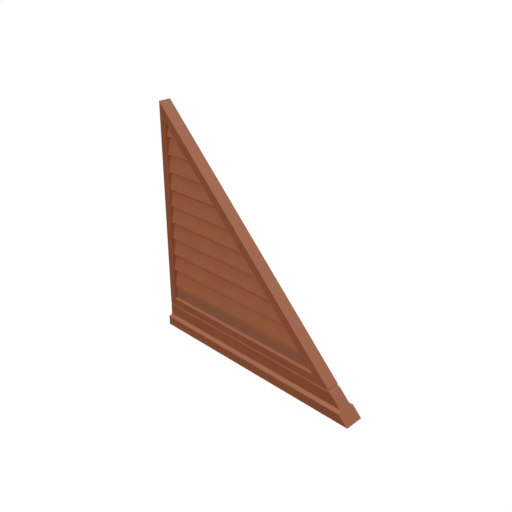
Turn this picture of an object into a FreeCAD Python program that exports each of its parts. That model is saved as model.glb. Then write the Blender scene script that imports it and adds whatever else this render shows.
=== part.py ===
"""Wooden half-gable wall panel: a right-triangle frame on a moulded sill, filled with lapped boards.

The panel stands on its sill. X runs along the sill, from the upright edge towards the foot of the
rake, Y runs from the front to the back, and Z is up. The pieces are drawn with X = 0 on the upright
edge and Y = 0 on the front of the frame. Then each one's Placement brings the middle of the sill's
underside to the origin. All sizes are millimetres and degrees.
"""
import FreeCAD, Part
import os
import Sketcher

SIZES = {
    # the whole panel
    "panel_width": 610,        # along the sill's underside, to the foot of the rake
    "rake_angle": 45,          # slope of the raking edge, above level
    "frame_depth": 33.4,       # front to back, of the stiles and the rail
    # the sill
    "sill_height": 63.7,       # its top, which the frame stands on
    "front_ledge": 9.6,        # how far the sill's foot stands out in front of the frame
    "back_ledge": 7.0,         # and behind it
    "sill_foot": 25,           # height of the foot's upright faces
    "ledge_rise": 3.7,         # climb of the sloping ledges that shed water
    # the faces of the frame members
    "stile_face": 17.5,
    "rake_face": 21,           # measured square to the slope
    "rail_face": 19,
    # the shallow V groove that marks the joint between the sill and the frame
    "groove_below": 5.5,       # how far its long side runs down the sill
    "groove_above": 1.2,       # and its short side up the frame
    "groove_depth": 1.5,
    # the lapped boards
    "board_count": 10,
    "board_thickness": 10,
    "board_lap": 12,           # how far a board's top runs up behind the next board
    "board_recess": 4.5,       # from the frame's front to a board's lower front edge
    "top_board_show": 37.1,    # height of the top board that shows, up to the peak
    "lap_gap": 0.2,            # between two boards, and between the first board and the strip
    # the strip under the first board
    "strip_thickness": 10,
    "strip_recess": 9.2,       # from the frame's front to the strip's face
    "strip_show": 40.7,        # from the rail's top to the first board's lower edge
    # the housings in the frame that take the boards' ends and the strip's edges
    "housing_depth": 6,
    "housing_gap": 0.2,
}

doc = FreeCAD.newDocument("half_gable_panel")


def write_sheet():
    """Keep every driving size in one spreadsheet, each in a cell with its own name."""
    sheet = doc.addObject("Spreadsheet::Sheet", "Sizes")
    for row, (alias, value) in enumerate(SIZES.items(), start=1):
        sheet.set(f"A{row}", alias)
        sheet.set(f"B{row}", str(value))
        sheet.setAlias(f"B{row}", alias)
    doc.recompute()
    return sheet


sheet = write_sheet()


# ---------------------------------------------------------------- formulas on the sheet's sizes

def rake_x(height, inset="0"):
    """X at a height, on the line that lies an inset inside the rake's outer face."""
    along = f"(({inset}) + ({height}) * cos(Sizes.rake_angle)) / sin(Sizes.rake_angle)"
    return f"(Sizes.panel_width - {along})"


def rake_z(across, inset="0"):
    """Z at an X, on the line that lies an inset inside the rake's outer face."""
    rise = f"(Sizes.panel_width - ({across})) * sin(Sizes.rake_angle) - ({inset})"
    return f"(({rise}) / cos(Sizes.rake_angle))"


RAIL_TOP = "(Sizes.sill_height + Sizes.rail_face)"
PEAK = rake_z("Sizes.stile_face", "Sizes.rake_face")
FIRST_EDGE = f"({RAIL_TOP} + Sizes.strip_show)"
# The boards share the height evenly, and the top one fills the peak.
EXPOSURE = f"(({PEAK} - Sizes.top_board_show - {FIRST_EDGE}) / (Sizes.board_count - 1))"
# Each board leans back just enough to lie on the face of the one below it.
LEAN = f"asin((Sizes.board_thickness + Sizes.lap_gap) / {EXPOSURE})"
BOARD_HEIGHT = f"({EXPOSURE} * cos({LEAN}) + Sizes.board_lap)"
STRIP_FOOT = f"({RAIL_TOP} - Sizes.housing_depth)"
STRIP_TOP = f"({FIRST_EDGE} - Sizes.board_thickness * sin({LEAN}) - Sizes.lap_gap)"
GROOVE_FOOT = "(Sizes.sill_height - Sizes.groove_below)"
GROOVE_HEAD = "(Sizes.sill_height + Sizes.groove_above)"


# ---------------------------------------------------------------- drawing helpers

def outline(body, name, plane, corners):
    """Sketch a closed outline on one of the body's origin planes, each corner set by two formulas."""
    sketch = body.newObject("Sketcher::SketchObject", name)
    base = next(item for item in body.Origin.OriginFeatures if item.Role == plane)
    sketch.AttachmentSupport = [(base, "")]
    sketch.MapMode = "FlatFace"
    points = [FreeCAD.Vector(float(sheet.evalExpression(u)), float(sheet.evalExpression(v)), 0)
              for u, v in corners]
    for start, end in zip(points, points[1:] + points[:1]):
        sketch.addGeometry(Part.LineSegment(start, end), False)
    for index, (u, v) in enumerate(corners):
        before = (index - 1) % len(corners)
        sketch.addConstraint(Sketcher.Constraint("Coincident", before, 2, index, 1))
        for kind, value, formula in (("DistanceX", points[index].x, u), ("DistanceY", points[index].y, v)):
            number = sketch.addConstraint(Sketcher.Constraint(kind, -1, 1, index, 1, value))
            sketch.setExpression(f"Constraints[{number}]", formula)
    return sketch


def pad(body, sketch, length, reverse=False):
    """Raise a sketch into a solid of the given length."""
    feature = body.newObject("PartDesign::Pad", sketch.Name + "_pad")
    feature.Profile = sketch
    feature.setExpression("Length", length)
    feature.Reversed = reverse
    return feature


def cut_through(body, sketch):
    """Cut a sketch's outline right through the body, both ways from its plane."""
    before = body.Shape.Volume
    feature = body.newObject("PartDesign::Pocket", sketch.Name + "_cut")
    feature.Profile = sketch
    feature.Type = "ThroughAll"
    feature.Midplane = True
    doc.recompute()
    if not body.Shape.Volume < before:
        raise RuntimeError(f"{feature.Name} cuts nothing")
    return feature


def upright_plate(name, corners):
    """A body as deep as the frame, drawn by its face."""
    body = doc.addObject("PartDesign::Body", name)
    sketch = outline(body, name + "_face", "XZ_Plane", corners)
    pad(body, sketch, "Sizes.frame_depth", reverse=True)
    doc.recompute()
    return body


def groove_front_and_back(body):
    """Cut the V groove at the sill joint along the front and the back."""
    for side, face, root in (("front", "0", "Sizes.groove_depth"),
                             ("back", "Sizes.frame_depth", "Sizes.frame_depth - Sizes.groove_depth")):
        corners = [(face, GROOVE_FOOT), (root, "Sizes.sill_height"), (face, GROOVE_HEAD)]
        cut_through(body, outline(body, f"{body.Name}_{side}_groove", "YZ_Plane", corners))


def groove_end(body):
    """Carry the same V groove across the sloping end."""
    root = rake_x("Sizes.sill_height", "Sizes.groove_depth")
    corners = [(rake_x(GROOVE_FOOT), GROOVE_FOOT), (root, "Sizes.sill_height"),
               (rake_x(GROOVE_HEAD), GROOVE_HEAD)]
    cut_through(body, outline(body, f"{body.Name}_end_groove", "XZ_Plane", corners))


def place(piece, label):
    """Name a finished piece, and set it so that the origin is under the middle of the panel."""
    piece.Label = label
    piece.setExpression("Placement.Base.x", "-Sizes.panel_width / 2")
    piece.setExpression("Placement.Base.y",
                        "-(Sizes.frame_depth + Sizes.back_ledge - Sizes.front_ledge) / 2")
    pieces.append(piece)
    return piece


def boolean(kind, name, base, tool):
    """Join two shapes with a Part boolean that stays live."""
    feature = doc.addObject("Part::" + kind, name)
    feature.Base = base
    feature.Tool = tool
    return feature


# ---------------------------------------------------------------- boards and their housings

def field(name, reach):
    """The triangle inside the frame, grown by a reach into the members, as deep as the frame."""
    left = f"Sizes.stile_face - ({reach})"
    foot = f"{RAIL_TOP} - ({reach})"
    inset = f"Sizes.rake_face - ({reach})"
    return upright_plate(name, [(left, foot), (rake_x(foot, inset), foot), (left, rake_z(left, inset))])


def lap_plank(name, course, spare="0"):
    """One leaning board, as long as the panel, before its ends are cut; spare thickens it all round."""
    box = doc.addObject("Part::Box", name)
    box.setExpression("Length", "Sizes.panel_width")
    box.setExpression("Width", f"Sizes.board_thickness + 2 * {spare}")
    box.setExpression("Height", f"{BOARD_HEIGHT} + 2 * {spare}")
    box.Placement = FreeCAD.Placement(FreeCAD.Vector(), FreeCAD.Rotation(FreeCAD.Vector(1, 0, 0), -1))
    box.setExpression("Placement.Rotation.Angle", f"-{LEAN}")
    back = f"Sizes.board_recess - {spare} * (cos({LEAN}) + sin({LEAN}))"
    up = f"{FIRST_EDGE} + {course} * {EXPOSURE} + {spare} * (sin({LEAN}) - cos({LEAN}))"
    box.setExpression("Placement.Base.y", back)
    box.setExpression("Placement.Base.z", up)
    return box


def strip_plank(name, spare="0"):
    """The upright strip under the first board, before its ends are cut."""
    box = doc.addObject("Part::Box", name)
    box.setExpression("Length", "Sizes.panel_width")
    box.setExpression("Width", f"Sizes.strip_thickness + 2 * {spare}")
    box.setExpression("Height", f"{STRIP_TOP} - {STRIP_FOOT} + 2 * {spare}")
    box.setExpression("Placement.Base.y", f"Sizes.strip_recess - {spare}")
    box.setExpression("Placement.Base.z", f"{STRIP_FOOT} - {spare}")
    return box


pieces = []
courses = range(SIZES["board_count"])

board_field = field("board_field", "Sizes.housing_depth")
place(boolean("Common", "strip", strip_plank("strip_plank"), board_field), "starter_strip")
for course in courses:
    plank = lap_plank(f"plank_{course + 1}", course)
    place(boolean("Common", f"board_{course + 1}", plank, board_field), f"lap_board_{course + 1:02d}")

spare_planks = [strip_plank("strip_spare", "Sizes.housing_gap")]
spare_planks += [lap_plank(f"plank_spare_{course + 1}", course, "Sizes.housing_gap") for course in courses]
spare_stack = doc.addObject("Part::MultiFuse", "spare_stack")
spare_stack.Shapes = spare_planks
housing_field = field("housing_field", "Sizes.housing_depth + Sizes.housing_gap")
housings = boolean("Common", "housings", spare_stack, housing_field)


# ---------------------------------------------------------------- frame members

SILL_TOP = "Sizes.sill_height"
INNER = "Sizes.rake_face"

stile = upright_plate("stile_blank", [
    ("0", SILL_TOP),
    ("Sizes.stile_face", SILL_TOP),
    ("Sizes.stile_face", PEAK),
    ("0", rake_z("0", INNER)),
])
groove_front_and_back(stile)
place(boolean("Cut", "stile", stile, housings), "left_stile")

rake = upright_plate("rake_blank", [
    (rake_x(SILL_TOP, INNER), SILL_TOP),
    (rake_x(SILL_TOP), SILL_TOP),
    ("0", rake_z("0")),
    ("0", rake_z("0", INNER)),
])
groove_front_and_back(rake)
groove_end(rake)
place(boolean("Cut", "rake", rake, housings), "raking_stile")

rail = upright_plate("rail_blank", [
    ("Sizes.stile_face", SILL_TOP),
    (rake_x(SILL_TOP, INNER), SILL_TOP),
    (rake_x(RAIL_TOP, INNER), RAIL_TOP),
    ("Sizes.stile_face", RAIL_TOP),
])
groove_front_and_back(rail)
place(boolean("Cut", "rail", rail, housings), "bottom_rail")


# ---------------------------------------------------------------- sill

def sill_body():
    """The moulded sill: a deep foot, a ledge that slopes up at front and back, and a narrower top."""
    body = doc.addObject("PartDesign::Body", "sill_body")
    ledge_top = "Sizes.sill_foot + Sizes.ledge_rise"
    back = "Sizes.frame_depth + Sizes.back_ledge"
    section = outline(body, "sill_section", "YZ_Plane", [
        ("-Sizes.front_ledge", "0"),
        (back, "0"),
        (back, "Sizes.sill_foot"),
        ("Sizes.frame_depth", ledge_top),
        ("Sizes.frame_depth", SILL_TOP),
        ("0", SILL_TOP),
        ("0", ledge_top),
        ("-Sizes.front_ledge", "Sizes.sill_foot"),
    ])
    pad(body, section, "Sizes.panel_width")
    doc.recompute()
    beyond_rake = [("Sizes.panel_width", "0"), ("Sizes.panel_width", SILL_TOP), (rake_x(SILL_TOP), SILL_TOP)]
    cut_through(body, outline(body, "sill_end", "XZ_Plane", beyond_rake))
    groove_front_and_back(body)
    groove_end(body)
    return body


place(sill_body(), "sill")


# ---------------------------------------------------------------- check and write

doc.recompute()
for item in doc.Objects:
    if "Invalid" in item.State or "Error" in item.State:
        raise RuntimeError(f"{item.Name} did not build: {item.State}")

os.makedirs("parts", exist_ok=True)
for piece in pieces:
    shape = piece.Shape
    if shape.isNull() or not shape.isValid() or len(shape.Solids) != 1:
        raise RuntimeError(f"{piece.Label} is not one sound solid")
    shape.exportStep(f"parts/{piece.Label}.step")
    box = shape.BoundBox
    print(f"{piece.Label}: {box.XLength:.1f} x {box.YLength:.1f} x {box.ZLength:.1f} mm, "
          f"{shape.Volume / 1000:.1f} cm3")
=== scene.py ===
# %% [markdown]
# # A half-gable panel in stained softwood
#
# The panel is a right-triangle frame on a moulded sill, filled with lapped boards. The packed model
# fixes where every piece is. This file dresses the pieces: it gives them eased arrises, the faint
# hollows that a plane leaves, and a stain with grain in it. We load the model first and keep its
# box.

# %% Load the frame
import math

import bpy
import numpy as np
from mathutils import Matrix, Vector


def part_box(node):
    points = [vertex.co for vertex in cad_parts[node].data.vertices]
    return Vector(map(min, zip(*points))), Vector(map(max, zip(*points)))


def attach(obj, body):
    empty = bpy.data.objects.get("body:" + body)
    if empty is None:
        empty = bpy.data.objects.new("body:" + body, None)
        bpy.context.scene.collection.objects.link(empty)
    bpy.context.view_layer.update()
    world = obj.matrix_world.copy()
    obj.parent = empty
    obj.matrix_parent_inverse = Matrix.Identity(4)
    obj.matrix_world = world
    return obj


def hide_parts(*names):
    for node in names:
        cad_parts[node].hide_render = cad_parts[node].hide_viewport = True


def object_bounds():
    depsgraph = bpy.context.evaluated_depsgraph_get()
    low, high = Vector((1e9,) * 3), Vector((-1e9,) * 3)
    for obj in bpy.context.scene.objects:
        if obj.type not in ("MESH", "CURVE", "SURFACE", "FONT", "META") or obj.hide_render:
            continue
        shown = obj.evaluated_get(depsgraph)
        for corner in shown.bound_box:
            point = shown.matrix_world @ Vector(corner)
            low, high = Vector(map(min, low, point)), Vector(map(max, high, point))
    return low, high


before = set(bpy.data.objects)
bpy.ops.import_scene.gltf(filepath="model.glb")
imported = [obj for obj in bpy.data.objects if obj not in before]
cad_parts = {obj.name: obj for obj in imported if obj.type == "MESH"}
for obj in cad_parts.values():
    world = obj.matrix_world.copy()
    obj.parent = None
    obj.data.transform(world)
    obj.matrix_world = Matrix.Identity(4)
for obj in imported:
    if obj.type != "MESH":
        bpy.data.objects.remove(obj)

cad_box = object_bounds()
print("CAD box", cad_box)

# %% [markdown]
# Measures on a workshop drawing are in millimetres, and Blender works in metres. One constant
# turns one into the other. The outline of the panel follows from two pieces: the sill gives the
# base, and the raking stile gives the slope. Every line along the rake lies some distance inside
# its outer face, so two small functions give the place on such a line, at a height or at an X.

# %% The lines of the triangle
MM = 0.001
sill_low, sill_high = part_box("sill")
rake_low, rake_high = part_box("raking_stile")
stile_low, stile_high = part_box("left_stile")
rail_low, rail_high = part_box("bottom_rail")

slope = math.atan2(rake_high.z - sill_low.z, sill_high.x - sill_low.x)
frame_front, frame_back = stile_low.y, stile_high.y
joint_height = sill_high.z


def rake_x(height, inset=0.0):
    """X on the line that lies an inset inside the rake's outer face: the toe, less the run of the
    slope up to that height, less the inset measured level."""
    return sill_high.x - (inset + (height - sill_low.z) * np.cos(slope)) / np.sin(slope)


def rake_z(across, inset=0.0):
    """Height of the same line at an X: the rise of the slope from the toe, less the inset."""
    return sill_low.z + ((sill_high.x - across) * np.sin(slope) - inset) / np.cos(slope)


print(f"slope {math.degrees(slope):.2f} degrees, joint at {joint_height / MM:.1f} mm")

# %% [markdown]
# ## The camera
#
# The view is a three-quarter one, from the right and from above, aimed at the middle of the
# panel's box. A 50 mm lens on a full-frame sensor stands a little over a metre and a half away,
# which gives the mild perspective of a product picture. A camera in Blender looks down its own
# -Z, so it is tipped up from the floor by the complement of its elevation, and then turned by its
# azimuth.

# %% Camera
camera_azimuth = math.radians(44.76)
camera_elevation = math.radians(26.65)
camera_distance = 1.62

centre = (np.array(cad_box[0]) + np.array(cad_box[1])) / 2
away = np.array([math.sin(camera_azimuth) * math.cos(camera_elevation),
                 -math.cos(camera_azimuth) * math.cos(camera_elevation),
                 math.sin(camera_elevation)])
camera_data = bpy.data.cameras.new("camera")
camera_data.lens = 50
camera_data.sensor_width = 36
camera = bpy.data.objects.new("camera", camera_data)
camera.location = centre + camera_distance * away
camera.rotation_euler = (math.pi / 2 - camera_elevation, 0, camera_azimuth)
bpy.context.scene.collection.objects.link(camera)
bpy.context.scene.camera = camera
print("camera at", np.round(camera.location, 3))

# %% [markdown]
# ## Colour by its name
#
# Stain makers and painters give colours as sRGB hex. Shaders compute in linear light, so one
# function turns the first into the second. The picture uses the Standard view, which shows a
# colour as it is, because the film-like view would grey the stain and the white floor. A second
# helper adds a node to a material or to the world, and links whatever sockets it is given.

# %% Colours and view
def linear(hex_colour):
    """sRGB hex to linear RGBA: the low end divides by 12.92, the rest follows the 2.4 power."""
    srgb = np.array([int(hex_colour[i:i + 2], 16) for i in (1, 3, 5)]) / 255
    rgb = np.where(srgb <= 0.04045, srgb / 12.92, ((srgb + 0.055) / 1.055) ** 2.4)
    return (*rgb.tolist(), 1.0)


def add_node(tree, kind, inputs=None, **settings):
    """Add one node: settings go on the node, and inputs are values or the sockets to link from."""
    node = tree.nodes.new(kind)
    for key, value in settings.items():
        setattr(node, key, value)
    for key, value in (inputs or {}).items():
        if isinstance(value, bpy.types.NodeSocket):
            tree.links.new(value, node.inputs[key])
        else:
            node.inputs[key].default_value = value
    return node


bpy.context.scene.view_settings.view_transform = "Standard"
print("view transform:", bpy.context.scene.view_settings.view_transform)

# %% [markdown]
# ## Light and floor
#
# The panel is lit like a product on a light table. A soft lamp stands right by the camera, so its
# shadows hide behind the pieces that cast them. A fill light from overhead brightens the rake,
# the ledges and the shelf of the rail, and casts no shadow. A weak third lamp stands a little
# higher and almost square to the front, and its shadows show under the higher laps. A fourth
# lights the back, for a walk round the panel. They are sun lamps, because a sun lamp gives every
# piece the same light however far away it is.

# %% Lamps
def sun(name, toward, strength, spread, shadows=True):
    """A sun lamp that shines from the direction toward. Its spread is the width of the lamp in
    the sky, as an angle in degrees, and a wide one makes soft shadows."""
    lamp = bpy.data.lights.new(name, "SUN")
    lamp.energy = strength
    lamp.angle = math.radians(spread)
    lamp.use_shadow = shadows
    light = bpy.data.objects.new(name, lamp)
    light.rotation_euler = Vector(toward).to_track_quat("Z", "Y").to_euler()
    bpy.context.scene.collection.objects.link(light)
    print(f"{name}: strength {strength}, spread {spread} degrees")


sun("softbox_by_the_camera", toward=(0.63, -0.63, 0.38), strength=2.52, spread=12)
sun("overhead_fill", toward=(0.11, -0.05, 0.99), strength=2.24, spread=60, shadows=False)
sun("upper_softbox", toward=(0.15, -0.80, 0.48), strength=0.76, spread=10)
sun("back_softbox", toward=(-0.60, 0.78, 0.15), strength=3.2, spread=30)

# %% [markdown]
# The table is a sheet of milky acrylic lit from inside, so it is as white as the surroundings and
# shows no shadow. Its glow is for the camera only: the panel takes a faint even light from the
# sky on every side, which is what reaches the undersides and the back.

# %% Surroundings and light table
def pale_surroundings(seen, given):
    """A white sky: as bright as seen to the camera, and as bright as given to the panel."""
    world = bpy.data.worlds.new("surroundings")
    world.use_nodes = True
    tree = world.node_tree
    tree.nodes.clear()
    ray = add_node(tree, "ShaderNodeLightPath")
    level = add_node(tree, "ShaderNodeMix", {
        "Factor": ray.outputs["Is Camera Ray"], "A": given, "B": seen})
    sky = add_node(tree, "ShaderNodeBackground", {
        "Color": (1, 1, 1, 1), "Strength": level.outputs["Result"]})
    add_node(tree, "ShaderNodeOutputWorld", {"Surface": sky.outputs["Background"]})
    bpy.context.scene.world = world
    print(f"sky: {seen} to the camera, {given} to the panel")


def light_table(half_width):
    """A flat glowing square under the panel, left out of the light that the panel receives."""
    corners = np.array([(-1, -1), (1, -1), (1, 1), (-1, 1)]) * half_width
    mesh = bpy.data.meshes.new("light_table")
    mesh.from_pydata([(x, y, sill_low.z) for x, y in corners], [], [(0, 1, 2, 3)])
    acrylic = bpy.data.materials.new("milky_acrylic_lit_from_inside")
    acrylic.use_nodes = True
    shader = acrylic.node_tree.nodes["Principled BSDF"]
    shader.inputs["Base Color"].default_value = linear("#000000")
    shader.inputs["Specular IOR Level"].default_value = 0.0
    shader.inputs["Emission Color"].default_value = linear("#FFFFFF")
    shader.inputs["Emission Strength"].default_value = 1.0
    mesh.materials.append(acrylic)
    table = bpy.data.objects.new("light_table", mesh)
    table.visible_diffuse = False
    table.visible_glossy = False
    bpy.context.scene.collection.objects.link(table)
    print(f"light table {2 * half_width} m wide")


pale_surroundings(seen=1.0, given=0.11)
light_table(half_width=30)

# %% [markdown]
# ## Timber as a deformed block
#
# Every piece here was sawn from a straight plank, so every piece is a block that was cut and
# shaped. We build it the same way. A block's surface is a grid of points on its six sides. The
# grid's lines lie close together near the edges, where the arris is rounded, and further apart
# between them.

# %% A block as a grid
ARRIS = 0.5 * MM
ARRIS_TURNS = np.radians([45, 33, 21, 9, 0])     # from the corner round to the flat face
PAST_ARRIS = 1.7 * ARRIS                         # where the even ruling starts
CLOSEST_LINES = 0.02 * MM                        # nearer than this, two lines become one


def ruled(length, spacing, extra=()):
    """Positions of grid lines along one side: an even ruling, the lines on the rounding at each
    end, one just past it, and any extra places that a shape needs."""
    turn = ARRIS * (1 - np.tan(ARRIS_TURNS))
    count = max(2, round((length - 2 * PAST_ARRIS) / spacing))
    even = np.linspace(PAST_ARRIS, length - PAST_ARRIS, count)
    lines = np.concatenate([turn, even, length - turn, np.asarray(extra, float)])
    lines = np.sort(lines[(lines >= 0) & (lines <= length)])
    return lines[np.concatenate([[True], np.diff(lines) > CLOSEST_LINES])]


def block_surface(along, across, up):
    """The six sides of a block as one grid: the lattice points that lie on the outside, and the
    squares between them. Returns the points and the four corner numbers of each square."""
    shape = (len(along), len(across), len(up))
    number = np.arange(np.prod(shape)).reshape(shape)
    squares = []
    for axis in range(3):
        for side in (0, -1):
            face = np.take(number, side, axis=axis)
            ring = [face[:-1, :-1], face[1:, :-1], face[1:, 1:], face[:-1, 1:]]
            if (side == 0) != (axis == 1):      # turn these round, so that all face outward
                ring.reverse()
            squares.append(np.stack(ring, axis=-1).reshape(-1, 4))
    used, squares = np.unique(np.concatenate(squares), return_inverse=True)
    lattice = np.stack(np.meshgrid(along, across, up, indexing="ij"), axis=-1)
    return lattice.reshape(-1, 3)[used], squares.reshape(-1, 4)


print(f"a side 100 mm long, ruled every 7 mm, has {len(ruled(100 * MM, 7 * MM))} lines")

# %% [markdown]
# Rounding an edge is simple arithmetic. A point is pulled in to a smaller block inside, and
# pushed out again by the arris radius, in whatever direction it came from. Where a joint was
# glued up and then planed flush, the ends aren't rounded, because the plane ran straight over
# them.

# %% Eased arrises
TINY = 1e-12    # keeps a zero length from dividing


def eased(points, size, planed_ends):
    """Round the block's edges: each point moves to one arris radius from the inner block, in its
    own direction. An end that was planed flush with its neighbour stays square, so there the
    inner block is as long as the piece, and the end's own points keep their place in the ring
    between the two outlines. Returns the points and the outward directions."""
    inner = np.clip(points, ARRIS, np.asarray(size) - ARRIS)
    if planed_ends:
        inner[:, 0] = points[:, 0]
    offset = points - inner
    reach = np.abs(offset).max(axis=1, keepdims=True)
    direction = offset / np.maximum(np.linalg.norm(offset, axis=1, keepdims=True), TINY)
    outward = direction * reach / ARRIS
    outward[:, 0] += (1 - reach[:, 0] / ARRIS) * np.sign(points[:, 0] - size[0] / 2)
    outward /= np.linalg.norm(outward, axis=1, keepdims=True)
    return inner + reach * direction, outward


corner, _ = eased(np.zeros((1, 3)), (1, 1, 1), planed_ends=False)
print(f"a corner moves in by {np.linalg.norm(corner) / MM:.2f} mm")

# %% [markdown]
# ## What the plane leaves behind
#
# Dressed softwood is never truly flat. The soft early wood wears a little lower than the hard
# late wood, in long ridges that follow the grain, and a board cups by a hair as it dries. Both
# are made as hollows only, so a piece never grows past its CAD size. The ridges are a sum of a
# few waves that are long along the grain and short across it, with seeded phases, so each run
# gives the same wood.

# %% Relief along the grain
RIDGE_DEPTH = 0.07 * MM
RIDGE_WAVES = 9
RIDGE_WIDTHS = (6, 15)          # millimetres across the grain
RIDGE_LENGTHS = (0.3, 0.9)      # metres along it


def ridges(points, seed):
    """Depth of the hollows at each point: a few waves, added up and scaled to lie between zero
    and the ridge depth."""
    rng = np.random.default_rng(seed)
    across = 2 * np.pi / (rng.uniform(*RIDGE_WIDTHS, RIDGE_WAVES) * MM)
    along = 2 * np.pi / rng.uniform(*RIDGE_LENGTHS, RIDGE_WAVES)
    heading = rng.uniform(0, np.pi, RIDGE_WAVES)
    phase = rng.uniform(0, 2 * np.pi, RIDGE_WAVES)
    waves = np.sin(points[:, :1] * along + points[:, 1:2] * across * np.cos(heading)
                   + points[:, 2:] * across * np.sin(heading) + phase)
    return RIDGE_DEPTH * (0.5 + waves.mean(axis=1)).clip(0, 1)


print(f"{RIDGE_WAVES} waves, hollows up to {RIDGE_DEPTH / MM:.2f} mm deep")

# %% [markdown]
# One function makes a dressed timber in its own frame, lying along X. Two marks go with its
# points, for the stain to read. One is for the arrises, where handling rubs it thin, though
# hardly at the ends, where pieces butt. The other is for the end grain, which drinks more of it.

# %% A dressed timber
def shaped_block(size, spacing, seed, extra=((), (), ()), cup=0.0, outer=0.0, planed_ends=False):
    """A block with X along the grain, Y from front to back and Z up. The front and the back take
    the ridges and the cup, a parabola across the width. The upper side takes ridges where outer
    is 1. The sides that meet other pieces stay flat, so the joints close. Returns the points, the
    squares, and the marks for the arrises and the end grain."""
    lines = [ruled(length, gap, more) for length, gap, more in zip(size, spacing, extra)]
    points, squares = block_surface(*lines)
    points, outward = eased(points, size, planed_ends)
    faces = outward[:, 1] ** 2
    middle = 1 - (2 * points[:, 2] / size[2] - 1) ** 2
    upper = np.clip(outward[:, 2], 0, 1) ** 2
    depth = ridges(points, seed) * (faces + outer * upper) + cup * middle * faces
    on_the_turn = (1 - np.abs(outward).max(axis=1)) / (1 - math.sqrt(0.5))
    arris = np.clip(on_the_turn, 0, 1) * (1 - np.abs(outward[:, 0]))
    end = np.abs(outward[:, 0]) ** 4
    return points - outward * depth[:, None], squares, arris, end


sample_points, sample_squares, *_ = shaped_block((1.0, 0.03, 0.02), (0.01, 0.01, 0.01), seed=0)
print(f"a metre of batten: {len(sample_points)} points, {len(sample_squares)} squares")

# %% [markdown]
# The finished points go into a mesh in one step each for points and faces. If the shaping turned
# the block inside out, its volume comes out negative, and the faces are turned round.

# %% From points to a piece
def signed_volume(points, squares):
    """Sum over the squares, each as two triangles, of the volume of its pyramid to the origin."""
    a, b, c, d = (points[squares[:, i]] for i in range(4))
    first = np.einsum("ij,ij->", a, np.cross(b, c))
    second = np.einsum("ij,ij->", a, np.cross(c, d))
    return (first + second) / 6


def make_piece(name, node, points, squares, arris, end):
    """A mesh object for one timber, which replaces its plain CAD node and rides on its body."""
    volume = signed_volume(points, squares)
    if volume < 0:
        squares = squares[:, ::-1]
    mesh = bpy.data.meshes.new(name)
    mesh.from_pydata(points.tolist(), [], squares.tolist())
    for label, values in (("arris", arris), ("end_grain", end)):
        mark = mesh.attributes.new(label, "FLOAT", "POINT")
        mark.data.foreach_set("value", values.astype(np.float32))
    mesh.polygons.foreach_set("use_smooth", np.ones(len(squares), bool))
    mesh.validate()
    piece = bpy.data.objects.new(name, mesh)
    bpy.context.scene.collection.objects.link(piece)
    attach(piece, "root")
    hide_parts(node)
    print(f"{name}: {len(squares) * 2} triangles, {abs(volume) * 1e6:.0f} cm3")
    return piece


# %% [markdown]
# ## The sill
#
# The sill carries the frame and throws water off. Its foot is the widest part. A short ledge
# slopes up from it to the narrower block under the frame, at the front and at the back. Where the
# frame meets it, the corner is taken off in a long shallow bevel, which catches the light. A
# moulder would run this as one profile, so the block's front and back are functions of height,
# and its right end follows the rake.

# %% Sill
FOOT = 25 * MM
LEDGE_RISE = 3.7 * MM
GROOVE_BELOW = 5.5 * MM
GROOVE_DEPTH = 1.5 * MM
SOFTENING = 0.5 * MM
SILL_SPACING = (7 * MM, 1.6 * MM, 1.6 * MM)      # along the grain, front to back, and up


def softened(height, corners, values):
    """A bent line with its corners rubbed round: the mean of the line over a short window."""
    window = np.linspace(-SOFTENING, SOFTENING, 7)
    return np.mean([np.interp(height + shift, corners, values) for shift in window], axis=0)


def near(*places):
    """Extra grid lines on both sides of each place, where a bend needs them."""
    shifts = np.linspace(-SOFTENING, SOFTENING, 5)
    return [place + shift for place in places for shift in shifts]


def cut_to(right, points, size, low):
    """X of each point, once the piece is cut on the right to a line that may change with height."""
    return low.x + points[:, 0] / size[0] * (right - low.x)


def sill_piece():
    """The front and the back take the profile's Y at each height, and X runs to the rake, less the
    groove at that height."""
    size = sill_high - sill_low
    bends = [FOOT, FOOT + LEDGE_RISE, size.z - GROOVE_BELOW]
    heights = [0, *bends, size.z]
    points, squares, arris, end = shaped_block(
        size, SILL_SPACING, seed=11, extra=((), (), near(*bends)))
    height = points[:, 2]
    front = softened(height, heights, [sill_low.y, sill_low.y, frame_front, frame_front,
                                       frame_front + GROOVE_DEPTH])
    back = softened(height, heights, [sill_high.y, sill_high.y, frame_back, frame_back,
                                      frame_back - GROOVE_DEPTH])
    groove = np.clip((height - bends[2]) / GROOVE_BELOW, 0, 1) * GROOVE_DEPTH
    toe = rake_x(sill_low.z + height, groove)
    placed = np.column_stack([
        cut_to(toe, points, size, sill_low),
        front + points[:, 1] / size.y * (back - front),
        sill_low.z + height,
    ])
    return make_piece("dressed_sill", "sill", placed, squares, arris, end)


sill = sill_piece()

# %% [markdown]
# ## The frame
#
# Three members make the triangle. The upright stile and the raking stile run down to the sill,
# and the bottom rail fits between them. The raking stile runs through to the peak, where it is
# cut plumb, and the upright stile is cut to the slope underneath it. All three have a narrow
# bevel along the joint, the short side of the groove, so a helper takes the corner off near that
# height.

# %% The groove's upper side
GROOVE_ABOVE = 1.2 * MM


def groove_take(height):
    """How much the groove takes at a height: all of its depth at the joint, and none above its
    upper side, with an even fall between them."""
    return GROOVE_DEPTH * np.clip(1 - (height - joint_height) / GROOVE_ABOVE, 0, 1)


def between_faces(share, height):
    """Y at a share of the way from the frame's front to its back, inside the groove's corners."""
    take = groove_take(height)
    return frame_front + take + share * (frame_back - frame_front - 2 * take)


rake_face = (rake_z(stile_low.x) - stile_high.z) * math.cos(slope)
print(f"the raking stile is {rake_face / MM:.1f} mm wide, square to the slope")

# %% [markdown]
# The upright stile is drawn lying down, with the grain along X, and then stood up. Its top has to
# meet the underside of the raking stile, so its upper half is shortened, more and more towards
# the right, until the end lies on the slope.

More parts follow.
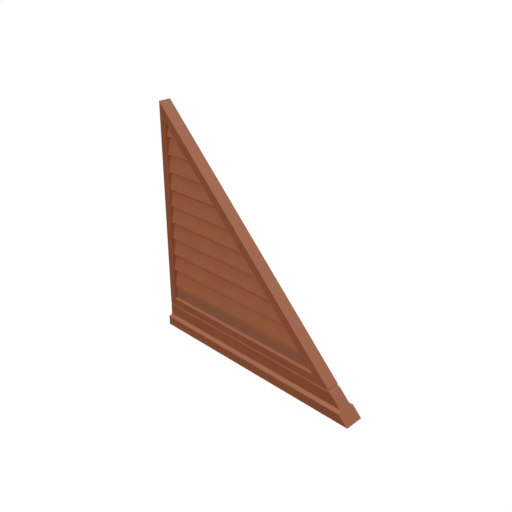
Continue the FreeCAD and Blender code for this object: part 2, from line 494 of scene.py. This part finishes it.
# %% Upright stile
FRAME_SPACING = (7 * MM, 1.4 * MM, 1.4 * MM)     # along the grain, front to back, across a face


def stile_piece():
    """The height is the distance along the grain, brought down in the upper half by a growing
    share of what the slope takes off the top."""
    size = (stile_high.z - stile_low.z, frame_back - frame_front, stile_high.x - stile_low.x)
    points, squares, arris, end = shaped_block(
        size, FRAME_SPACING, seed=21, extra=(near(GROOVE_ABOVE), (), ()))
    across = stile_low.x + points[:, 2]
    upper_half = np.clip(2 * points[:, 0] / size[0] - 1, 0, 1)
    height = stile_low.z + points[:, 0] + upper_half * (rake_z(across, rake_face) - stile_high.z)
    placed = np.column_stack([across, between_faces(points[:, 1] / size[1], height), height])
    return make_piece("dressed_left_stile", "left_stile", placed, squares, arris, end)


stile = stile_piece()

# %% [markdown]
# The raking stile is sheared rather than turned, because both of its ends are cut on the slope:
# level on the sill and plumb at the peak. Each line along its grain runs from its own point on
# the joint to its own point at the peak.

# %% Raking stile
def rake_piece():
    """A share of the length takes each point from its place on the joint to its place at the
    peak, in height and in X alike."""
    length = (rake_high.z - rake_low.z) / math.sin(slope)
    size = (length, frame_back - frame_front, rake_face)
    points, squares, arris, end = shaped_block(
        size, FRAME_SPACING, seed=31, outer=1.0,
        extra=(near(GROOVE_ABOVE / math.sin(slope)), (), ()))
    share, depth = points[:, 0] / length, points[:, 2]
    inset = rake_face - depth
    height = joint_height + share * (rake_z(rake_low.x, inset) - joint_height)
    foot = rake_x(joint_height, inset + groove_take(height) * depth / rake_face)
    across = foot + share * (rake_low.x - foot)
    placed = np.column_stack([across, between_faces(points[:, 1] / size[1], height), height])
    return make_piece("dressed_raking_stile", "raking_stile", placed, squares, arris, end)


rake = rake_piece()

# %% [markdown]
# The rail lies flat on the sill between the two stiles. Only its right end is cut to the slope.
# Its face was planed flush with the stiles, so its ends have no arris and the joints hardly show.

# %% Bottom rail
def rail_piece():
    """X is a share of the way from the left end to the raking stile's inner line, at each
    height."""
    size = rail_high - rail_low
    points, squares, arris, end = shaped_block(
        size, FRAME_SPACING, seed=41, extra=((), (), near(GROOVE_ABOVE)), planed_ends=True)
    height = rail_low.z + points[:, 2]
    placed = np.column_stack([
        cut_to(rake_x(height, rake_face), points, size, rail_low),
        between_faces(points[:, 1] / size.y, height),
        height,
    ])
    return make_piece("dressed_bottom_rail", "bottom_rail", placed, squares, arris, end)


rail = rail_piece()

# %% [markdown]
# ## The boards
#
# Each board leans back so that its lower edge stands proud and its top runs up behind the next
# one. Rain runs from face to face and never meets an open joint. A board lies flat on the one
# below, so the sine of its lean is its thickness, with the fitting gap, over the pitch of the
# courses. The right end is cut to the rake, inside the housing. The top board runs up into the
# peak.

# %% Lean of the boards
BOARD_THICKNESS = 10 * MM
LAP_GAP = 0.2 * MM

board_names = sorted(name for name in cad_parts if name.startswith("lap_board_"))
first_low, first_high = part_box(board_names[0])
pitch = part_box(board_names[1])[0].z - first_low.z
lean = math.asin((BOARD_THICKNESS + LAP_GAP) / pitch)
edge_rise = BOARD_THICKNESS * math.sin(lean)     # of a lower front edge above the lower back one
first_edge = first_low.z + edge_rise
board_width = (first_high.z - first_low.z - edge_rise) / math.cos(lean)
board_end_inset = (rake_x(first_edge) - first_high.x) * math.sin(slope)
print(f"pitch {pitch / MM:.1f} mm, lean {math.degrees(lean):.1f} degrees, "
      f"width {board_width / MM:.1f} mm")

# %% [markdown]
# A flat board cups a little as it dries, so its face is a shallow hollow. The top board would end
# in a point inside the frame. We stop it a millimetre short, because a mesh that shrinks to a
# point has squares with no area.

# %% Lapped boards
BOARD_SPACING = (7 * MM, 1.4 * MM, 1.2 * MM)
CUP = 0.1 * MM
NOSE = 1 * MM


def board_piece(node, seed):
    """The section turned by the lean: Y is the depth times the cosine plus the rise times the
    sine, and the height is the rise times the cosine less the depth times the sine."""
    low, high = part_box(node)
    tip_height = low.z + edge_rise
    peak = rake_z(low.x + NOSE, board_end_inset)
    width = min(board_width, (peak - tip_height) / math.cos(lean))
    size = (high.x - low.x, BOARD_THICKNESS, width)
    points, squares, arris, end = shaped_block(size, BOARD_SPACING, seed=seed, cup=CUP)
    depth, rise = points[:, 1], points[:, 2]
    height = tip_height - depth * math.sin(lean) + rise * math.cos(lean)
    placed = np.column_stack([
        cut_to(rake_x(height, board_end_inset), points, size, low),
        low.y + depth * math.cos(lean) + rise * math.sin(lean),
        height,
    ])
    return make_piece("dressed_" + node, node, placed, squares, arris, end)


boards = [board_piece(node, seed=100 + index) for index, node in enumerate(board_names)]

# %% [markdown]
# ## The starter strip
#
# The first board needs something under its lower edge, or it would lie flatter than the others.
# An upright strip stands in the rail for that. Its face is set back from the rail's front, so a
# narrow shelf of the rail shows below it.

# %% Starter strip
def strip_piece():
    """An upright block, with X a share of the way to the line that the boards' ends keep to."""
    low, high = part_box("starter_strip")
    size = high - low
    points, squares, arris, end = shaped_block(size, FRAME_SPACING, seed=51)
    height = low.z + points[:, 2]
    placed = np.column_stack([
        cut_to(rake_x(height, board_end_inset), points, size, low),
        low.y + points[:, 1],
        height,
    ])
    return make_piece("dressed_starter_strip", "starter_strip", placed, squares, arris, end)


strip = strip_piece()

# %% [markdown]
# ## Stained softwood
#
# The finish is a semi-opaque reddish-brown stain, brushed on planed softwood. It evens the grain
# out and leaves it showing as soft streaks. A solid texture suits it best: rings around the heart
# of the log, cut by the surface wherever it happens to be, so the faces and the ends agree. Each
# piece came from its own place in a log, so each one moves and turns the pattern with its own
# Mapping nodes.

# %% The grain
RING_SPACING = 3.2 * MM      # growth rings of slow-grown softwood
STREAK_WIDTH = 9 * MM        # broad streaks where the stain took differently
FIBRE_WIDTH = 1.1 * MM       # fine fibres, drawn a little coarse so that they show
DRAWN_OUT = 0.05             # streaks and fibres are twenty times as long as they are wide
RING_SHARE = 0.18            # how much of the grain the rings make
WAVE_PERIOD = 2 * math.pi / 20   # a wave texture repeats at this length when its scale is 1


def softwood_grain(tree, turn, shift):
    """A value from 0 to 1 for the grain: half broad streaks and half fibres, with a share of
    growth rings mixed in. Also returns the streaks."""
    place = add_node(tree, "ShaderNodeTexCoord").outputs["Object"]
    log = add_node(tree, "ShaderNodeMapping", {
        "Vector": place, "Rotation": turn, "Location": shift}).outputs["Vector"]
    drawn = add_node(tree, "ShaderNodeMapping", {
        "Vector": log, "Scale": (DRAWN_OUT, 1, 1)}).outputs["Vector"]
    streaks = add_node(tree, "ShaderNodeTexNoise", {
        "Vector": drawn, "Scale": 1 / STREAK_WIDTH, "Detail": 3.0, "Roughness": 0.55})
    fibres = add_node(tree, "ShaderNodeTexNoise", {
        "Vector": drawn, "Scale": 1 / FIBRE_WIDTH, "Detail": 4.0, "Roughness": 0.6})
    rings = add_node(tree, "ShaderNodeTexWave", {
        "Vector": log, "Scale": WAVE_PERIOD / RING_SPACING, "Distortion": 5.0,
        "Detail": 2.0, "Detail Scale": 0.06},
        wave_type="RINGS", rings_direction="X", wave_profile="SAW")
    soft = add_node(tree, "ShaderNodeMix", {
        "Factor": 0.5, "A": streaks.outputs["Fac"], "B": fibres.outputs["Fac"]})
    grain = add_node(tree, "ShaderNodeMix", {
        "Factor": RING_SHARE, "A": soft.outputs["Result"], "B": rings.outputs["Fac"]})
    return grain.outputs["Result"], streaks.outputs["Fac"]


print(f"rings {RING_SPACING / MM:.1f} mm, streaks {STREAK_WIDTH / MM:.0f} mm, "
      f"fibres {FIBRE_WIDTH / MM:.1f} mm")

# %% [markdown]
# The painted light and shade, the grey, and what hands do to a stain depend on where a face is and
# which way it looks. So they are made of shares: values from 0 to 1 that follow the height or the
# outward direction, and that mix one colour into another.

# %% Shares of a colour
def mixed(tree, share, colour, other):
    """A colour with a share of another mixed in. The share is a socket."""
    return add_node(tree, "ShaderNodeMix", {"Factor": share, "A": colour, "B": other},
                    data_type="RGBA").outputs["Result"]


def product(tree, share, other):
    """Two shares multiplied, and held between 0 and 1."""
    return add_node(tree, "ShaderNodeMath", {0: share, 1: other},
                    operation="MULTIPLY", use_clamp=True).outputs["Value"]


def ramp(tree, value, start, finish, least, most):
    """Map a value, so that the result goes from least to most as it goes from start to finish."""
    return add_node(tree, "ShaderNodeMapRange", {
        "Value": value, "From Min": start, "From Max": finish,
        "To Min": least, "To Max": most}).outputs["Result"]


def height_share(tree, start, finish, least, most):
    """A ramp on the height."""
    place = add_node(tree, "ShaderNodeTexCoord").outputs["Object"]
    height = add_node(tree, "ShaderNodeSeparateXYZ", {"Vector": place}).outputs["Z"]
    return ramp(tree, height, start, finish, least, most)


def facing_share(tree, axis, start, finish, least, most):
    """A ramp on the part of the outward direction that lies along an axis."""
    normal = add_node(tree, "ShaderNodeNewGeometry").outputs["Normal"]
    part = add_node(tree, "ShaderNodeSeparateXYZ", {"Vector": normal}).outputs[axis]
    return ramp(tree, part, start, finish, least, most)


def height_band(tree, start, full, fading, gone, strength):
    """A value that climbs from 0 to a strength between the first two heights, and falls back to
    0 between the last two: the lesser of two ramps."""
    climb = height_share(tree, start, full, 0.0, strength)
    fall = height_share(tree, gone, fading, 0.0, strength)
    return add_node(tree, "ShaderNodeMath", {0: climb, 1: fall},
                    operation="MINIMUM").outputs["Value"]


# %% [markdown]
# The stain dried redder in some patches and yellower in others. Light and sheen from the sky are
# painted into the colour, so a face that looks up is paler and greyer than an upright one, and more
# so near the peak.
# The arrises are rubbed pale by handling. The end grain has drunk more stain, and is darker.

# %% Painted sky light, and hands
# The pale colour of the painted sky light on upward faces and of the painted light in the groove,
# and of the rubbed arrises.
PALE_LIGHT_AND_WEAR = "#8C5C46"
FULLY_FACING_UP = 0.93       # the ledges lie at this slope, and they are as pale as it gets
SKY_LIGHT_BY_HEIGHT = (0.86, 1.2)       # how much painted sky light, at the sill and at the peak
PATCH_WIDTH = 45 * MM
PATCH_HUE = 0.005            # how far a patch's hue goes, in turns of the colour wheel
PATCH_RANGE = (0.3, 0.7)     # the noise seldom goes past these
SAME_HUE = 0.5               # the hue setting that changes nothing
END_GRAIN_SHARE = 0.12


def mottled(tree, colour):
    """Turn the hue a little both ways, in patches."""
    place = add_node(tree, "ShaderNodeTexCoord").outputs["Object"]
    patches = add_node(tree, "ShaderNodeTexNoise", {
        "Vector": place, "Scale": 1 / PATCH_WIDTH, "Detail": 1.0}).outputs["Fac"]
    hue = ramp(tree, patches, *PATCH_RANGE, SAME_HUE - PATCH_HUE, SAME_HUE + PATCH_HUE)
    return add_node(tree, "ShaderNodeHueSaturation", {"Color": colour, "Hue": hue}).outputs["Color"]


# Painted light: upward faces are made paler in the colour, as if lit more by the sky.
def painted_sky_light(tree, stain):
    """Paint light and sheen from the sky into the stain: mix it towards the pale colour, from none
    on an upright face to all on one that faces up, times the share for that height."""
    facing_up = facing_share(tree, "Z", 0, FULLY_FACING_UP, 0, 1)
    by_height = height_share(tree, sill_low.z, stile_high.z, *SKY_LIGHT_BY_HEIGHT)
    return mixed(tree, product(tree, facing_up, by_height), stain, linear(PALE_LIGHT_AND_WEAR))


def handled(tree, colour, streaks, deep):
    """Rub the arrises pale where the streaks are light, and deepen the end grain."""
    arris = add_node(tree, "ShaderNodeAttribute", attribute_name="arris").outputs["Fac"]
    end = add_node(tree, "ShaderNodeAttribute", attribute_name="end_grain").outputs["Fac"]
    worn = mixed(tree, product(tree, arris, streaks), colour, linear(PALE_LIGHT_AND_WEAR))
    return mixed(tree, product(tree, end, END_GRAIN_SHARE), worn, linear(deep))


print(f"patches {PATCH_WIDTH / MM:.0f} mm wide, within {PATCH_HUE * 360:.1f} degrees of hue")


# %% [markdown]
# The long side of the groove is painted pale, as painted light, and painted shade goes in its root
# and under the laps, which draws both as thin dark lines. The starter strip stands behind the shelf
# of the rail, and is greyer there than higher up; its clean top is painted light against the shade
# under the first board. The grey and the painted shade under the laps go only on the faces that
# look to the front, so the back stays clean.

# %% Painted light and shade, and the grey strip
GREYED = "#7C4D36"
# The colour of the painted shade in the groove's root and under the laps.
SHADE_COLOUR = "#3E2216"
SHADE_BELOW, SHADE_ABOVE = 0.8 * MM, 3.0 * MM      # how far it reaches from the groove's root
SHADE_STRENGTH = 0.7
SHADE_ON_THE_END = 0.3                            # how much of the painted shade goes on the sloping end
LAP_REACH_LOW, LAP_REACH_HIGH = 12.5 * MM, 9 * MM
# How much painted light goes on the groove's long side.
GROOVE_LIGHT = 0.25
FULLY_FACING_FRONT = -0.9                        # along Y, which the leaning boards pass


def on_the_front(tree, share):
    """Keep a share on the faces that look to the front, and drop it on the others."""
    return product(tree, share, facing_share(tree, "Y", FULLY_FACING_FRONT, 0, 1, 0))


def greyed_by_splashes(tree, colour, full_grey_to, clean_from):
    """Mix in grey: all of it up to the first height, and none above the second. The clean top that
    is left is painted light against the shade under the first board.
    """
    share = on_the_front(tree, height_share(tree, full_grey_to, clean_from, 1.0, 0.0))
    return mixed(tree, share, colour, linear(GREYED))


def painted_light_in_the_groove(tree, colour):
    """Paint the groove's long side paler: painted light, where the long bevel faces up to the
    light.
    """
    foot = joint_height - GROOVE_BELOW
    band = height_band(tree, foot - SOFTENING, foot, joint_height, joint_height + SOFTENING,
                       GROOVE_LIGHT)
    return mixed(tree, band, colour, linear(PALE_LIGHT_AND_WEAR))


def painted_shade_in_the_joint(tree, colour):
    """Paint shade in a band at the joint, in the groove's root, less on the sloping end than on the
    upright faces.
    """
    band = height_band(tree, joint_height - SHADE_BELOW, joint_height, joint_height,
                       joint_height + SHADE_ABOVE, SHADE_STRENGTH)
    kept = facing_share(tree, "X", 0, 1, 1.0, SHADE_ON_THE_END)
    return mixed(tree, product(tree, band, kept), colour, linear(SHADE_COLOUR))


def painted_shade_under_the_lap(tree, colour, edge, amount):
    """Paint shade on the top of a board's front, from the next board's edge down, where the lap
    above shades it. The painted shade reaches further on the low boards."""
    share = (edge - sill_low.z) / (stile_high.z - sill_low.z)
    reach = LAP_REACH_LOW + share * (LAP_REACH_HIGH - LAP_REACH_LOW)
    painted_shade = on_the_front(tree, height_share(tree, edge - reach, edge, 0.0, amount))
    return mixed(tree, painted_shade, colour, linear(SHADE_COLOUR))


print(f"dust {SHADE_BELOW / MM:.1f} mm down and {SHADE_ABOVE / MM:.1f} mm up from the joint, "
      f"and up to {LAP_REACH_LOW / MM:.1f} mm under a lap")


# %% [markdown]
# The material puts these together. The stain itself is close to one colour, a little deeper in
# the late wood. A brushed stain is matte: it is a thin film of oil or acrylic, so its index is
# near 1.5, but the wood's open texture scatters most of the shine. The hard late wood is a little
# smoother, and stands a hair higher, which the bump shows.

# %% A stained softwood
LATE_WOOD, EARLY_WOOD = 0.28, 0.72       # the grain values that take the deep and the pale stain
ROUGHNESS = (0.75, 0.6)                  # of the early wood and of the late wood
RELIEF = 0.15 * MM


def stained_softwood(name, stock, turn, shift, tone, splash=None, lap=None):
    """The grain, moved by the tone, picks the stain, and the marks go over it in turn: painted sky
    light, the grey foot, painted shade under the lap, hands, painted light in the groove, and
    painted shade in the joint."""
    material = bpy.data.materials.new(name)
    material.use_nodes = True
    tree = material.node_tree
    shader = tree.nodes["Principled BSDF"]

    grain, streaks = softwood_grain(tree, turn, shift)
    toned = add_node(tree, "ShaderNodeMath", {0: grain, 1: tone}, operation="ADD")
    stain = add_node(tree, "ShaderNodeValToRGB", {"Fac": toned.outputs["Value"]})
    stops = stain.color_ramp.elements
    deep, middle, pale = stock
    stops[0].position, stops[0].color = LATE_WOOD, linear(deep)
    stops[1].position, stops[1].color = EARLY_WOOD, linear(pale)
    stops.new((LATE_WOOD + EARLY_WOOD) / 2).color = linear(middle)

    colour = painted_sky_light(tree, mottled(tree, stain.outputs["Color"]))
    if splash:
        colour = greyed_by_splashes(tree, colour, *splash)
    if lap:
        colour = painted_shade_under_the_lap(tree, colour, *lap)
    colour = painted_light_in_the_groove(tree, handled(tree, colour, streaks, deep))
    tree.links.new(painted_shade_in_the_joint(tree, colour), shader.inputs["Base Color"])

    tree.links.new(ramp(tree, grain, 0, 1, *ROUGHNESS), shader.inputs["Roughness"])
    relief = add_node(tree, "ShaderNodeBump", {
        "Height": grain, "Strength": 0.3, "Distance": RELIEF})
    tree.links.new(relief.outputs["Normal"], shader.inputs["Normal"])
    shader.inputs["IOR"].default_value = 1.5
    shader.inputs["Specular IOR Level"].default_value = 0.2
    return material


print(f"roughness {ROUGHNESS[0]} in the early wood and {ROUGHNESS[1]} in the late wood")


# %% [markdown]
# Each piece has its own cut of a log, from 40 to 90 mm away from the heart, and takes the stain a
# little lighter or darker than its neighbours. The turn lays the pattern's long direction along
# the piece: level, upright or up the rake. A stock's three colours are those of its late wood,
# its middle and its early wood.

# %% Dress the frame
FRAME_STAIN = ("#7C4328", "#80472B", "#864C2F")
SILL_STAIN = ("#794126", "#7D4529", "#834A2D")
LEVEL = (0, 0, 0)
UPRIGHT = (0, math.pi / 2, 0)
RAKING = (0, math.pi - slope, 0)
FROM_THE_HEART = (40, 90)    # millimetres
TONE = 0.05


def dress(piece, stock, turn, seed, **marks):
    """Give a piece its own stained wood. The marks say where it is greyed at the foot or has
    painted shade under a lap.
    """
    rng = np.random.default_rng(seed)
    angle, radius = rng.uniform(0, 2 * np.pi), rng.uniform(*FROM_THE_HEART) * MM
    shift = (rng.uniform(-1, 1), radius * math.cos(angle), radius * math.sin(angle))
    material = stained_softwood("brushed_stain_on_" + piece.name, stock, turn, shift,
                                rng.uniform(-TONE, TONE), **marks)
    piece.data.materials.clear()
    piece.data.materials.append(material)
    print(f"{material.name}: {len(material.node_tree.nodes)} nodes")


dress(sill, SILL_STAIN, LEVEL, seed=1)
dress(stile, FRAME_STAIN, UPRIGHT, seed=2)
dress(rake, FRAME_STAIN, RAKING, seed=3)
dress(rail, FRAME_STAIN, LEVEL, seed=4)

# %% [markdown]
# The boards and the strip were stained before they went in, a touch lighter than the frame. The
# strip is grey up to 22 mm above the rail, and from there the grey fades out, until it ends 3 mm
# below the first board; the clean top is painted light against the shade under that board. Painted
# shade lies under the laps, more under some than under others, and hardly any near the peak.

# %% Dress the boards
BOARD_STAIN = ("#83472C", "#864B2A", "#89502A")
# The strip's stain is lighter than the boards': painted light, which lifts the shade under the
# first board.
STRIP_STAIN = ("#8B5236", "#8E5637", "#91593A")
# How much painted shade lies under each lap.
LAP_SHADE = (0.45, 1.0, 0.5, 0.9, 0.65, 1.0, 0.5, 0.0, 0.1, 0.0)   # from the lowest board up
# The strip's grey, and the clean top above it, which is painted light against the shade under the
# first board.
GREY_RISE = 22 * MM
CLEAR_MARGIN = 3 * MM

splashed = (rail_high.z + GREY_RISE, first_low.z - CLEAR_MARGIN)
dress(strip, STRIP_STAIN, LEVEL, seed=5, splash=splashed)
for index, (board, amount) in enumerate(zip(boards, LAP_SHADE)):
    next_edge = first_edge + (index + 1) * pitch
    dress(board, BOARD_STAIN, LEVEL, seed=10 + index, lap=(next_edge, amount))

total = sum(len(piece.data.polygons) * 2 for piece in (sill, stile, rake, rail, strip, *boards))
print(f"{total} triangles in all")
